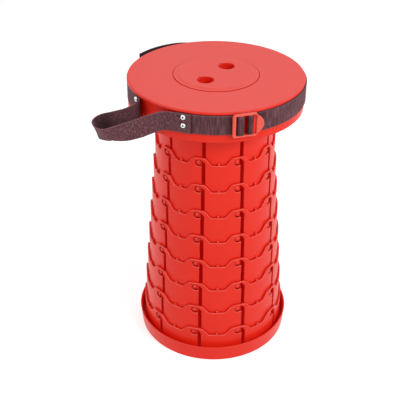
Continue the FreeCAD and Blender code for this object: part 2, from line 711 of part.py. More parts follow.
def around(radius, degrees):
    """A point at a distance from the axis, at an angle from +X."""
    angle = math.radians(degrees)
    return FreeCAD.Vector(radius * math.cos(angle), radius * math.sin(angle), 0)


def buckle_point(along, out):
    """A point in plan from the buckle's own middle: along the strap and out from the axis."""
    point = FreeCAD.Vector(along.number if isinstance(along, Size) else along, -as_size(out).number, 0)
    return FreeCAD.Rotation(FreeCAD.Vector(0, 0, 1), S.buckle_turn.number).multVec(point)


def circle_route(radius, first, last):
    """Pieces of a route round the axis, from one angle to another."""
    count = max(2, round(abs(last - first) / CIRCLE_STEP))
    step = (last - first) / count
    angles = [first + step * index for index in range(count + 1)]
    return [(around(radius, low), around(radius, high), FreeCAD.Vector(0, 0, 0))
            for low, high in zip(angles, angles[1:])]


def rounded_route(points, limit=math.inf):
    """Straight runs and tangent arcs along a route in plan, as (start, finish, centre)."""
    pieces = []
    previous = points[0]
    last = len(points) - 2
    for index in range(1, len(points) - 1):
        before, corner, after = points[index - 1:index + 2]
        into, out = (corner - before).normalize(), (after - corner).normalize()
        share_before = 1.0 if index == 1 else 0.5
        share_after = 1.0 if index == last else 0.5
        reach = min(share_before * (corner - before).Length, share_after * (after - corner).Length, limit)
        start, finish = corner - into * reach, corner + out * reach
        radius = reach / math.tan(into.getAngle(out) / 2)
        inward = (out - into).normalize()
        centre = corner + inward * math.hypot(radius, reach)
        if (start - previous).Length > SHORTEST_RUN:
            pieces.append((previous, start, None))
        pieces.append((start, finish, centre))
        previous = finish
    if (points[-1] - previous).Length > SHORTEST_RUN:
        pieces.append((previous, points[-1], None))
    return pieces


def side_edge(piece, offset):
    """The edge beside one piece of a route, at an offset to its left."""
    start, finish, centre = piece
    chord = finish - start
    if centre is None:
        shift = FreeCAD.Vector(-chord.y, chord.x, 0).normalize() * offset
        return Part.LineSegment(start + shift, finish + shift).toShape()
    turns_left = (start - centre).cross(chord).z > 0
    radius = (start - centre).Length - (offset if turns_left else -offset)
    ways = [(point - centre).normalize() for point in (start, (start + finish) / 2, finish)]
    return Part.Arc(*[centre + way * radius for way in ways]).toShape()


def webbing_band(route):
    """Webbing that stands on edge along a route in plan."""
    half = S.strap_thickness.number / 2
    sides = [[side_edge(piece, offset) for piece in route] for offset in (half, -half)]
    starts = [side[0].valueAt(side[0].FirstParameter) for side in sides]
    finishes = [side[-1].valueAt(side[-1].LastParameter) for side in sides]
    ends = [Part.LineSegment(*pair).toShape() for pair in (starts, finishes)]
    outline = Part.Wire(Part.__sortEdges__(sides[0] + sides[1] + ends))
    band = Part.Face(outline).extrude(FreeCAD.Vector(0, 0, (STRAP_HIGH - STRAP_LOW).number))
    band.translate(FreeCAD.Vector(0, 0, STRAP_LOW.number))
    return band


def with_rivet_holes(shape):
    """The webbing with holes for the rivets that pass through it."""
    reach = RECESS_RADIUS + 3 * (S.strap_gap + S.strap_thickness) + BEYOND
    for turn, height in rivet_places():
        hole = outward_hole(S.rivet_radius + S.rivet_gap, SKIRT_INNER, reach, height)
        shape = shape.cut(turned(hole, turn.number))
    return shape.Solids[0]


def add_piece(label, shape):
    item = doc.addObject("Part::Feature", label)
    item.Label = label
    item.Shape = shape
    return item


def wrap_run(side):
    """Plan points of webbing that rises round a buckle bar; side is -1 for left, 1 for right."""
    half = S.strap_thickness / 2 + S.strap_gap
    near = S.buckle_middle / 2 - half
    far = S.buckle_middle / 2 + S.buckle_bar + half
    top = BUCKLE_BACK + (S.buckle_depth + S.buckle_bar_depth) / 2 + half
    first, last = near + 3 * half, far + 3 * half
    low, middle = layer_middle(1), layer_middle(2)
    steps = [(first, tangent_out(low, first, first)), (near, tangent_out(low, first, near)), (near, top),
             (far, top), (far, tangent_out(middle, last, far)), (last, tangent_out(middle, last, last))]
    return [buckle_point(side * along, out) for along, out in steps]


def tangent_out(radius, touch, along):
    """How far out a tangent of a circle about the axis lies, for a place along the buckle."""
    return (radius * radius - touch * along) / root(radius * radius - touch * touch)


def angle_of(point):
    return math.degrees(math.atan2(point.y, point.x))


def build_belt():
    """The belt: round the seat from the rear rivets, round the buckle's right bar and back
    outside itself to a free end."""
    wrap = wrap_run(1)
    start = 270.0 - S.rear_rivet_turn.number + S.lap_angle.number / 2
    inner, outer = layer_middle(1).number, layer_middle(2).number
    bend = math.radians(TAIL_BEND)
    tail = [around(outer, TAIL_LEAVES), around(outer / math.cos(bend), TAIL_LEAVES + TAIL_BEND)]
    tail += [around(*point) for point in TAIL_POINTS]
    route = circle_route(inner, start, angle_of(wrap[0])) + rounded_route(wrap, S.wrap_bend.number)
    route += circle_route(outer, angle_of(wrap[-1]), TAIL_LEAVES) + rounded_route(tail)
    return add_piece("belt_strap", with_rivet_holes(webbing_band(route)))


def build_buckle_strap():
    """The short strap from the front rivets round the buckle's left bar and back."""
    wrap = wrap_run(-1)
    end = -90.0 - S.front_rivet_turn.number - S.lap_angle.number
    inner, outer = layer_middle(1).number, layer_middle(2).number
    route = circle_route(inner, end, angle_of(wrap[0])) + rounded_route(wrap, S.wrap_bend.number)
    route += circle_route(outer, angle_of(wrap[-1]), end)
    return add_piece("buckle_strap", with_rivet_holes(webbing_band(route)))


def handle_stations():
    """Middle points and leans of the handle, with the ends that lie on the seat."""
    height = ((STRAP_LOW + STRAP_HIGH) / 2).number
    lap = S.lap_angle.number
    front = -90.0 - S.front_rivet_turn.number
    rear = -90.0 - S.rear_rivet_turn.number
    front_radius, rear_radius = layer_middle(3).number, layer_middle(2).number
    stations = []
    for angle in (front + lap, front, front - lap):
        stations.append((around(front_radius, angle) + FreeCAD.Vector(0, 0, height), 0.0))
    for x, y, z, lean in HANDLE_LOOP:
        stations.append((FreeCAD.Vector(x, y, z), lean))
    for angle in (rear + lap * 0.65, rear, rear - lap / 2):
        stations.append((around(rear_radius, angle) + FreeCAD.Vector(0, 0, height), 0.0))
    return stations


def build_handle():
    """The carrying handle: a loop of webbing that leans and sags a little."""
    stations = handle_stations()
    half_width = (STRAP_HIGH - STRAP_LOW).number / 2
    half_wall = S.strap_thickness.number / 2
    sections = []
    for index, (point, lean) in enumerate(stations):
        before = stations[max(index - 1, 0)][0]
        after = stations[min(index + 1, len(stations) - 1)][0]
        along = (after - before).normalize()
        out = along.cross(FreeCAD.Vector(0, 0, 1)).normalize() * -1
        rotation = FreeCAD.Rotation(along, lean)
        up = rotation.multVec(FreeCAD.Vector(0, 0, 1)) * half_width
        side = rotation.multVec(out) * half_wall
        sections.append([point + up + side, point + up - side, point - up - side, point - up + side])
    faces = [Part.Face(Part.makePolygon(ends + ends[:1])) for ends in (sections[0], sections[-1])]
    for near, far in zip(sections, sections[1:]):
        for low in range(4):
            high = (low + 1) % 4
            for corners in ((near[low], near[high], far[high]), (near[low], far[high], far[low])):
                faces.append(Part.Face(Part.makePolygon([*corners, corners[0]])))
    shell = Part.makeShell(faces)
    shell.sewShape()
    return add_piece("handle_strap", with_rivet_holes(Part.makeSolid(shell)))


def build_buckle():
    """The ladder buckle: two bars between side rails, and a tab to lift it by."""
    body = new_body("buckle")
    middle = (STRAP_LOW + STRAP_HIGH) / 2
    window = (STRAP_HIGH - STRAP_LOW) / 2 + S.buckle_side_gap
    half = window + S.buckle_side_rail
    tab = half - S.buckle_round
    tip = S.buckle_right - S.buckle_round
    plate = new_sketch(body, "plate_outline", lift=BUCKLE_BACK)
    draw_outline(plate, [(-S.buckle_left, middle - half), (tip, middle - half), (S.buckle_right, middle - tab),
                         (S.buckle_right, middle + tab), (tip, middle + half), (-S.buckle_left, middle + half)],
                 {1: ((tip, middle - tab), True), 3: ((tip, middle + tab), True)})
    pad(body, "plate", plate, S.buckle_depth)
    windows = new_sketch(body, "window_outline", lift=BUCKLE_BACK - BEYOND)
    near = S.buckle_middle / 2
    far = near + S.buckle_bar
    edges = (middle - window, middle + window)
    draw_rectangle(windows, -near, near, *edges)
    draw_rectangle(windows, far, far + S.buckle_slot, *edges)
    draw_rectangle(windows, -far - S.buckle_slot, -far, *edges)
    cut(body, "windows", windows, S.buckle_depth + 2 * BEYOND, backwards=True)
    spare = (S.buckle_depth - S.buckle_bar_depth) / 2
    for name, lift in (("back", BUCKLE_BACK - BEYOND), ("front", BUCKLE_BACK + S.buckle_depth - spare)):
        thinning = new_sketch(body, f"bar_{name}_outline", lift=lift)
        draw_rectangle(thinning, -far - S.buckle_slot, far + S.buckle_slot, *edges)
        cut(body, f"bar_{name}", thinning, spare + BEYOND, backwards=True)
    place(body, angle=S.buckle_turn)
    return body


def check_document():
    """Stop if any object of the document failed to build."""
    for item in doc.Objects:
        if "Invalid" in item.State or "Error" in item.State:
            raise RuntimeError(f"{item.Name} did not build: {item.State}")


def export(pieces):
    os.makedirs("parts", exist_ok=True)
    for item in pieces:
        if item.Shape.isNull() or not item.Shape.isValid():
            raise RuntimeError(f"{item.Label} has no valid shape")
    for item in pieces:
        item.Shape.exportStep(os.path.join("parts", f"{item.Label}.step"))
        print(f"{item.Label}: {len(item.Shape.Solids)} solid, {item.Shape.Volume / 1000:.1f} cm3")


def build_stool():
    pieces = [build_base(), build_smallest_ring()]
    pieces += [build_ring(number) for number in range(2, RING_COUNT + 1)]
    pieces += [build_seat(), build_cap(), build_buckle()]
    pieces += build_screws() + build_rivets()
    pieces += [build_belt(), build_buckle_strap(), build_handle()]
    doc.recompute()
    check_document()
    export(pieces)
    print(f"ring travel {RING_TRAVEL.number:.2f} mm per stage")


build_stool()
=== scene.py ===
import json
import math

import bmesh
import bpy
from mathutils import Matrix, Quaternion, Vector


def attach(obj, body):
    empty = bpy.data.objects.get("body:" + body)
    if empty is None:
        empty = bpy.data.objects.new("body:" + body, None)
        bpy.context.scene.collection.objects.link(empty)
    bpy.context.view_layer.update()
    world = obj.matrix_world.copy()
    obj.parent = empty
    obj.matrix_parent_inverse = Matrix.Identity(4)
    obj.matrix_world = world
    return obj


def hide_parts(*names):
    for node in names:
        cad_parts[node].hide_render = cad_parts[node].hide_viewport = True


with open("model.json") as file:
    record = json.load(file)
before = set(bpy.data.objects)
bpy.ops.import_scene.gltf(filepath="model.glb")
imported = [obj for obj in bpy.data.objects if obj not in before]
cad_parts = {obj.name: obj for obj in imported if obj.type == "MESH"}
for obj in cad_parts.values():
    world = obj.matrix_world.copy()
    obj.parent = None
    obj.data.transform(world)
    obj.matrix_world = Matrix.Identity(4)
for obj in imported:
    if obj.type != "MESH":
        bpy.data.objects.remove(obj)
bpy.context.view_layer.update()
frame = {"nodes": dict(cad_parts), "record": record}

scene = bpy.context.scene
scene.view_settings.view_transform = "Standard"

# Lengths are in metres. Angles are in degrees, round the stool's axis from +X towards +Y.
UP = Vector((0, 0, 1))

# Webbing: radii of the middles of its layers on the seat's wall, height of its middle, width and wall
LAYERS = (0.12955, 0.13135, 0.13315)
STRAP_MIDDLE = 0.4322
STRAP_WIDTH = 0.0284
STRAP_WALL = 0.0015
# Pitch of the weave: yarns side by side across the webbing, and ribs along it
YARN_PITCH = 0.0011
RIB_PITCH = 0.0016
# About how far apart the points of a strap's line and of an arc are
LINE_STEP = 0.003
ARC_STEP = 3.0
# The two pairs of rivets, their heights, and how far webbing laps past a pair
FRONT_RIVETS = -110.0
REAR_RIVETS = -147.9
RIVET_HEIGHTS = (0.4419, 0.4297)
LAP = 4.6
# The buckle's middle, its back from the axis, half its core's thickness and the bevel on either side
BUCKLE_ANGLE = -73.25
BUCKLE_BACK = 0.1325
BUCKLE_CORE = 0.0010
BUCKLE_BEVEL = 0.0011
# How far from the buckle's middle the inner and outer layers leave the seat's wall for it
INNER_TURN = 6.5
OUTER_TURN = 9.5
# Radius of the joint between the seat and its cap
SEAM = 0.0632
# Plastic: how wide its rounded edges and their painted highlights look, and its colours in clouds, scuffed,
# of painted shade in crevices and in the joint
PLASTIC_EDGE = 0.0013
PLASTIC_CLOUDS = ((0.2, (0.86, 0.026, 0.011)), (0.8, (0.90, 0.032, 0.014)))
PLASTIC_SCUFFED = (0.90, 0.10, 0.08)
PLASTIC_CREVICE_SHADE = (0.42, 0.0, 0.0)
PLASTIC_JOINT = (0.62, 0.0, 0.0)
# Webbing: the colours of its uneven threads, of painted shade between its ribs, of dust, at its edges and
# of painted shade inside its folds
WEBBING_THREADS = ((0.34, (0.030, 0.008, 0.010)), (0.50, (0.116, 0.034, 0.042)),
                   (0.66, (0.330, 0.126, 0.150)))
WEBBING_GAP_SHADE = (0.040, 0.014, 0.018)
WEBBING_DUST = (0.195, 0.095, 0.106)
WEBBING_EDGES = (0.36, 0.20, 0.22)
WEBBING_FOLD_SHADE = (0.016, 0.003, 0.004)
# Metal: painted shade in its crevices
METAL_CREVICE_SHADE = (0.03, 0.03, 0.03)


class Nodes:
    """A node tree, added to by short calls."""

    def __init__(self, tree):
        self.tree = tree

    def add(self, kind, **settings):
        node = self.tree.nodes.new(kind)
        for key, value in settings.items():
            setattr(node, key, value)
        return node

    def link(self, output, socket):
        self.tree.links.new(output, socket)

    def stretched(self, vector, scale):
        mapping = self.add("ShaderNodeMapping")
        mapping.inputs["Scale"].default_value = scale
        self.link(vector, mapping.inputs["Vector"])
        return mapping.outputs["Vector"]

    def mapped(self, scale=(1.0, 1.0, 1.0)):
        """Places in the object's own frame, stretched by a scale."""
        return self.stretched(self.add("ShaderNodeTexCoord").outputs["Object"], scale)

    def parts(self, vector):
        """The outputs X, Y and Z of a vector."""
        node = self.add("ShaderNodeSeparateXYZ")
        self.link(vector, node.inputs["Vector"])
        return node.outputs

    def noise(self, vector, scale, detail=3.0, roughness=0.5):
        node = self.add("ShaderNodeTexNoise")
        node.inputs["Scale"].default_value = scale
        node.inputs["Detail"].default_value = detail
        node.inputs["Roughness"].default_value = roughness
        self.link(vector, node.inputs["Vector"])
        return node.outputs["Fac"]

    def openness(self, distance, samples=8):
        """How open the surroundings of a place are as far as a distance, from 0 to 1."""
        node = self.add("ShaderNodeAmbientOcclusion", samples=samples, only_local=False)
        node.inputs["Distance"].default_value = distance
        return node.outputs["AO"]

    def ramp(self, value, stops):
        node = self.add("ShaderNodeValToRGB")
        elements = node.color_ramp.elements
        while len(elements) < len(stops):
            elements.new(0.5)
        for element, (place, colour) in zip(elements, stops):
            element.position = place
            element.color = (*colour, 1.0)
        self.link(value, node.inputs["Fac"])
        return node.outputs["Color"]

    def span(self, value, low, high, from_low=0.0, from_high=1.0):
        """A value between from_low and from_high, as one between low and high."""
        node = self.add("ShaderNodeMapRange")
        limits = {"From Min": from_low, "From Max": from_high, "To Min": low, "To Max": high}
        for name, number in limits.items():
            node.inputs[name].default_value = number
        self.link(value, node.inputs["Value"])
        return node.outputs["Result"]

    def maths(self, operation, *values):
        node = self.add("ShaderNodeMath", operation=operation)
        for socket, value in zip(node.inputs, values):
            if isinstance(value, (int, float)):
                socket.default_value = value
            else:
                self.link(value, socket)
        return node.outputs["Value"]

    def times(self, first, second):
        return self.maths("MULTIPLY", first, second)

    def mix(self, amount, first, second):
        """A colour between two. The node's sockets for colours are reached by their numbers."""
        node = self.add("ShaderNodeMix", data_type="RGBA")
        for index, value in ((0, amount), (6, first), (7, second)):
            if isinstance(value, (int, float)):
                node.inputs[index].default_value = value
            elif isinstance(value, tuple):
                node.inputs[index].default_value = (*value, 1.0)
            else:
                self.link(value, node.inputs[index])
        return node.outputs[2]

    def bump(self, height, distance, strength=1.0, normal=None):
        node = self.add("ShaderNodeBump")
        node.inputs["Distance"].default_value = distance
        node.inputs["Strength"].default_value = strength
        self.link(height, node.inputs["Height"])
        if normal:
            self.link(normal, node.inputs["Normal"])
        return node.outputs["Normal"]

    def seen(self):
        """1 where a surface itself is seen, also in or through another, and 0 where it only gives light."""
        path = self.add("ShaderNodeLightPath")
        direct = self.maths("MAXIMUM", path.outputs["Is Camera Ray"], path.outputs["Is Glossy Ray"])
        return self.maths("MAXIMUM", direct, path.outputs["Is Transmission Ray"])


class Shader(Nodes):
    """The nodes of a new material."""

    def __init__(self, name):
        self.material = bpy.data.materials.new(name)
        self.material.use_nodes = True
        super().__init__(self.material.node_tree)
        self.surface = self.tree.nodes["Principled BSDF"]

    def set(self, **sockets):
        for name, value in sockets.items():
            self.surface.inputs[name.replace("_", " ")].default_value = value

    def drive(self, **sockets):
        """Links outputs to the surface's sockets."""
        for name, output in sockets.items():
            self.link(output, self.surface.inputs[name.replace("_", " ")])


def red_plastic(name="red_plastic", pale=0.0, lips=0.0, glint=0.0, reach=0.007, clear=0.64, seam=None):
    """Moulded plastic with a faint orange peel, soft mottling and fine scratches, and with painted edge
    highlights, painted shade in its crevices and a faint painted red glow.

    pale is the least painted highlight over the whole surface, lips keeps faces that look up out of the
    painted crevice shade, and glint whitens the painted edge highlights, each from 0 to 1. The painted
    shade looks as far as reach, in metres, and ends where the surroundings are as open as clear. seam is
    the radius of a dark joint line round the axis.
    """
    shader = Shader(name)
    place = shader.mapped()
    cloud = shader.noise(place, 14.0, 2.0)
    colour = shader.ramp(cloud, PLASTIC_CLOUDS)
    streaks = shader.noise(shader.mapped(scale=(1.0, 1.0, 12.0)), 160.0, 4.0, 0.7)
    scuffs = shader.span(streaks, 0.0, 1.0, 0.66, 0.80)
    colour = shader.mix(shader.times(scuffs, 0.08), colour, PLASTIC_SCUFFED)

    rounded = shader.add("ShaderNodeBevel", samples=6)
    rounded.inputs["Radius"].default_value = PLASTIC_EDGE
    flat = shader.add("ShaderNodeNewGeometry")
    agree = shader.add("ShaderNodeVectorMath", operation="DOT_PRODUCT")
    shader.link(rounded.outputs["Normal"], agree.inputs[0])
    shader.link(flat.outputs["True Normal"], agree.inputs[1])
    # Painted highlight: rounded edges that face up, as if catching the light from above.
    edge = shader.span(agree.outputs["Value"], 1.0, 0.0, 0.80, 0.985)
    facing_up = shader.span(shader.parts(rounded.outputs["Normal"])["Z"], 0.0, 1.0, 0.1, 0.6)
    edge = shader.times(edge, shader.times(facing_up, 0.75 + 0.25 * glint))

    # Painted shade: darker where the surroundings are closed, in crevices, holes and between parts; faces
    # that look up are spared as far as lips.
    near = shader.openness(reach, samples=6)
    crevice_shade = shader.span(near, 0.80 if seam is None else 1.0, 0.0, 0.12, clear)
    crevice_shade = shader.times(crevice_shade, shader.span(facing_up, 1.0, 1.0 - lips))
    colour = shader.mix(crevice_shade, colour, PLASTIC_CREVICE_SHADE)
    # The painted highlight's pale colour, on those edges and, as far as pale, over the whole surface.
    edge_highlight_colour = (1.0, 0.30 + 0.20 * glint, 0.22 + 0.20 * glint)
    colour = shader.mix(shader.maths("MAXIMUM", edge, pale), colour, edge_highlight_colour)
    sheen = shader.span(near, 0.02, 0.24, 0.30, 0.80)

    if seam is not None:
        axes = shader.parts(place)
        squares = [shader.times(axes[axis], axes[axis]) for axis in ("X", "Y")]
        away = shader.maths("SUBTRACT", shader.maths("SQRT", shader.maths("ADD", *squares)), seam)
        line = shader.span(shader.maths("ABSOLUTE", away), 0.9, 0.0, 0.0003, 0.0009)
        colour = shader.mix(line, colour, PLASTIC_JOINT)
        sheen = shader.times(sheen, shader.span(line, 1.0, 0.0, 0.0, 0.9))

    roughness = shader.maths("ADD", shader.span(cloud, 0.33, 0.36), shader.times(scuffs, 0.18))
    peel = shader.bump(shader.noise(place, 900.0, 2.0), 0.00002, 0.5, rounded.outputs["Normal"])
    shader.drive(Base_Color=colour, Roughness=roughness, Normal=peel, Specular_IOR_Level=sheen)
    # A faint red glow is painted in, so the shade in slots and crevices stays a deep red.
    shader.set(IOR=1.46, Emission_Color=(1.0, 0.0, 0.0, 1.0), Emission_Strength=0.055)
    return shader.material


def webbing(name, grain, lift=1.0):
    """Woven tape: ribs across it with painted shade between them, yarns along it, uneven threads, firmer
    edges, a dusty cast and painted shade inside its folds.

    grain is how often in a metre the threads' tone changes along the tape and across it, and lift
    brightens them.
    """
    shader = Shader(name)
    flat = shader.add("ShaderNodeUVMap", uv_map="weave").outputs["UV"]
    parts = shader.parts(flat)
    along, across = parts["X"], parts["Y"]
    yarn = shader.maths("SINE", shader.times(across, 2.0 * math.pi / YARN_PITCH))
    offset = shader.times(shader.maths("SIGN", yarn), math.pi / 2)
    rib = shader.maths("SINE", shader.maths("ADD", shader.times(along, 2.0 * math.pi / RIB_PITCH), offset))
    height = shader.times(shader.maths("ADD", rib, 1.0), 0.5)
    height = shader.maths("ADD", height, shader.times(shader.maths("ABSOLUTE", yarn), 0.6))
    threads = shader.noise(shader.stretched(flat, grain), 1.0, 3.0, 0.65)
    dust = shader.noise(shader.mapped(), 45.0, 4.0, 0.6)
    fuzz = shader.noise(shader.mapped(), 2200.0, 2.0)

    tones = [(place, tuple(lift * part for part in tone)) for place, tone in WEBBING_THREADS]
    colour = shader.ramp(threads, tones)
    # Painted shade in the low places between the weave's ribs.
    gap_shade = shader.span(shader.times(height, 0.62), 0.55, 0.0)
    colour = shader.mix(gap_shade, colour, WEBBING_GAP_SHADE)
    colour = shader.mix(shader.span(dust, 0.0, 0.35, 0.35, 0.75), colour, WEBBING_DUST)
    edge = shader.span(shader.maths("ABSOLUTE", across), 0.0, 1.0, 0.0130, 0.0136)
    colour = shader.mix(shader.times(edge, 0.35), colour, WEBBING_EDGES)
    # Painted shade inside folds, as within the handle's loop.
    inside = shader.span(shader.openness(0.035), 1.0, 0.0, 0.45, 0.98)
    colour = shader.mix(inside, colour, WEBBING_FOLD_SHADE)

    normal = shader.bump(height, 0.00022, 0.9)
    normal = shader.bump(threads, 0.0003, 0.5, normal)
    normal = shader.bump(fuzz, 0.00004, 0.4, normal)
    shader.drive(Base_Color=colour, Roughness=shader.span(fuzz, 0.62, 0.85), Normal=normal)
    shader.set(Sheen_Weight=0.24, Sheen_Roughness=0.5, Sheen_Tint=(0.80, 0.45, 0.52, 1.0), IOR=1.4,
               Specular_IOR_Level=0.3)
    return shader.material


def plated(name, tint, roughness, brushed):
    """Plated or brushed metal with dull spots, painted shade in its crevices and fine scratches, stretched
    by brushed.
    """
    shader = Shader(name)
    spots = shader.noise(shader.mapped(), 300.0, 4.0, 0.65)
    dull = tuple(0.62 * part for part in tint)
    colour = shader.mix(shader.span(spots, 0.0, 0.5, 0.45, 0.8), tint, dull)
    # Painted shade in crevices.
    crevice_shade = shader.span(shader.openness(0.003), 1.0, 0.0, 0.45, 0.80)
    colour = shader.mix(crevice_shade, colour, METAL_CREVICE_SHADE)
    scratches = shader.noise(shader.mapped(scale=brushed), 900.0, 3.0, 0.6)
    shader.drive(Base_Color=colour, Roughness=shader.span(scratches, roughness - 0.06, roughness + 0.14),
                 Normal=shader.bump(scratches, 0.00001, 0.5))
    shader.set(Metallic=1.0)
    return shader.material


def add_piece(name, mesh, material, flat=False):
    """A piece made from its mesh, in one material, with its faces shaded smooth unless it is flat."""
    mesh.materials.append(material)
    if not flat:
        for polygon in mesh.polygons:
            polygon.use_smooth = True
    piece = bpy.data.objects.new(name, mesh)
    scene.collection.objects.link(piece)
    return piece


def add_solid(name, vertices, faces, material, flat=False):
    """A piece made from its corners and faces."""
    mesh = bpy.data.meshes.new(name)
    mesh.from_pydata(vertices, [], faces)
    return add_piece(name, mesh, material, flat)


def around(radius, degrees, height=STRAP_MIDDLE):
    """A point round the stool's axis."""
    angle = math.radians(degrees)
    return Vector((radius * math.cos(angle), radius * math.sin(angle), height))


def arc(radius, first, last):
    """Points round the stool's axis, from one angle to another."""
    count = max(2, round(abs(last - first) / ARC_STEP))
    return [around(radius, first + (last - first) * index / count) for index in range(count + 1)]


def buckle_point(along, out):
    """A point by its distance from the buckle's middle, along the strap to the right, and from the axis."""
    point = Vector((along, -out, STRAP_MIDDLE))
    point.rotate(Quaternion(UP, math.radians(BUCKLE_ANGLE + 90.0)))
    return point


def parts_between(first, second):
    """How many short parts a smooth line has from one of its points to the next."""
    return max(1, round((second - first).length / LINE_STEP))


def smooth(points):
    """A smooth line through points, as points a few millimetres apart."""
    line = []
    for index, (a, b) in enumerate(zip(points, points[1:])):
        before = points[index - 1] if index else a - (b - a)
        after = points[index + 2] if index + 2 < len(points) else b + (b - a)
        count = parts_between(a, b)
        for part in range(count):
            t = part / count
            line.append(0.5 * (2 * a + (b - before) * t + (2 * before - 5 * a + 4 * b - after) * t * t
                               + (3 * a - before - 3 * b + after) * t ** 3))
    line.append(points[-1])
    return line


def section():
    """Outline of the webbing's cross-section: across its width and through its wall.

    Its two faces are a little thinner between the edges, and the edges are rounded.
    """
    half, wall = STRAP_WIDTH / 2, STRAP_WALL / 2
    flat, round_off, thinner = half - wall, wall * 0.7, wall * 0.86
    front = [(-flat, wall), (-0.86 * flat, wall), (-0.5 * flat, thinner), (0.0, thinner),
             (0.5 * flat, thinner), (0.86 * flat, wall), (flat, wall)]
    end = [(flat + round_off, round_off), (half, 0.0), (flat + round_off, -round_off)]
    half_way = front + end
    return half_way + [(-x, -y) for x, y in half_way]


def ribbon(name, line, material, leans=None):
    """A strap that stands on edge along a line; leans tips its upper edge out at each point, in degrees."""
    outline = section()
    sides, last = len(outline), len(line) - 1
    vertices, faces, places = [], [], []
    travelled = 0.0
    for index, point in enumerate(line):
        before, after = line[max(index - 1, 0)], line[min(index + 1, last)]
        along = (after - before).normalized()
        travelled += (point - before).length
        turn = Quaternion(along, -math.radians(leans[index] if leans else 0.0))
        sideways = UP.cross(along).normalized()
        up = turn @ along.cross(sideways)
        out = turn @ sideways
        for across, through in outline:
            vertices.append(point + up * across + out * through)
            places.append((travelled, across))
    for low in range(0, last * sides, sides):
        high = low + sides
        for side in range(sides):
            after = (side + 1) % sides
            faces.append((low + side, low + after, high + after, high + side))
    faces.append(tuple(reversed(range(sides))))
    faces.append(tuple(range(last * sides, len(vertices))))
    piece = add_solid(name, vertices, faces, material)
    weave = piece.data.uv_layers.new(name="weave")
    for loop in piece.data.loops:
        weave.data[loop.index].uv = places[loop.vertex_index]
    return piece


def wrap(side, near, far):
    """Webbing round a buckle bar, from its inner to its outer layer; near and far bound it in the windows.

    side is 1 to the right of the buckle's middle and -1 to its left. Each step is a distance along the
    strap from that middle and one out from the buckle's back.
    """
    steps = [(0.0095, -0.0029), (0.0065, -0.0024), (near, 0.0004), (near, 0.0030), (near + 0.0014, 0.0042),
             (far - 0.0018, 0.0042), (far - 0.0002, 0.0030), (far, 0.0006), (far + 0.0023, -0.0012)]
    return [buckle_point(side * along, BUCKLE_BACK + out) for along, out in steps]


# Where the belt leaves the seat's wall for its free end, and that end's distances from the axis and angles
TAIL_START = 97.0
BELT_TAIL = ((0.1330, 103.0), (0.1375, 108.5), (0.1425, 115.5), (0.1443, 124.5), (0.1446, 134.0),
             (0.1438, 144.6))


def build_belt(material):
    """Webbing from the rear rivets round the seat to the buckle, and back over itself to a free end."""
    start = REAR_RIVETS + 360.0 + LAP / 2
    points = arc(LAYERS[0], start, BUCKLE_ANGLE + INNER_TURN) + wrap(1, 0.0030, 0.0090)
    points += arc(LAYERS[1], BUCKLE_ANGLE + OUTER_TURN, TAIL_START)
    points += [around(radius, angle) for radius, angle in BELT_TAIL]
    piece = ribbon("belt", smooth(points), material)
    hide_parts("belt_strap")
    return piece


def build_buckle_strap(material):
    """Short webbing from the front rivets round the buckle's left bar and back to them."""
    end = FRONT_RIVETS - LAP
    points = arc(LAYERS[0], end, BUCKLE_ANGLE - INNER_TURN) + wrap(-1, 0.0038, 0.0124)
    points += arc(LAYERS[1], BUCKLE_ANGLE - OUTER_TURN, end)
    piece = ribbon("buckle_webbing", smooth(points), material)
    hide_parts("buckle_strap")
    return piece


# The handle's loop: places in millimetres and the lean of the webbing's upper edge
HANDLE_LOOP = (
    (-65.0, -117.6, 431.8, 0.0), (-75.1, -115.1, 430.8, 0.0), (-89.7, -120.3, 428.5, -4.0),
    (-102.4, -126.5, 426.3, -6.0), (-119.9, -131.5, 422.9, 2.0), (-135.8, -133.1, 420.4, 18.0),
    (-144.2, -133.2, 419.2, 29.0), (-149.3, -131.6, 417.8, 35.0), (-157.4, -123.5, 415.2, 32.0),
    (-165.2, -110.5, 413.1, 20.0), (-165.8, -98.9, 412.5, 10.0), (-156.9, -94.1, 415.5, 6.0),
    (-141.9, -97.8, 421.2, 4.0), (-125.7, -98.6, 426.7, 2.0), (-113.7, -92.8, 430.4, 1.0),
    (-108.4, -84.1, 431.9, 0.0),
)


def build_handle(material):
    """Webbing from the front rivets in a loop beside the seat to the rear rivets."""
    stations = [(around(LAYERS[2], FRONT_RIVETS + turn), 0.0) for turn in (LAP, 0.0, -LAP)]
    stations += [(Vector((x, y, z)) / 1000.0, lean) for x, y, z, lean in HANDLE_LOOP]
    stations += [(around(LAYERS[1], REAR_RIVETS + turn), 0.0) for turn in (LAP * 0.65, 0.0, -LAP / 2)]
    leans = []
    for (place, lean), (next_place, next_lean) in zip(stations, stations[1:]):
        count = parts_between(place, next_place)
        leans += [lean + (next_lean - lean) * part / count for part in range(count)]
    leans.append(stations[-1][1])
    piece = ribbon("handle", smooth([place for place, lean in stations]), material, leans)
    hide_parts("handle_strap")
    return piece


# Rings: how many, with as many slots in each, the outside of the largest, the step to the next smaller
# one, and the place of the slot nearest the front
RING_COUNT = 10
RING_RADIUS = 0.1149
RING_STEP = 0.003455
SLOT_PITCH = 360.0 / RING_COUNT
FIRST_SLOT = -90.0 + 24.6
# Of the plain ring, from its slot's middle: the slot's sides, and the pocket's end and corner
SLOT_EDGE = 0.00365
POCKET_TURN = 5.0
POCKET_HALF = 0.0042
POCKET_CORNER = 0.0024
# Of the plain ring, in height: just above its pockets' floor, round its pockets, just below its slots' top
ABOVE_POCKET_FLOOR = 0.0437
ROUND_POCKET = (0.043, 0.053)
BELOW_SLOT_TOP = 0.051
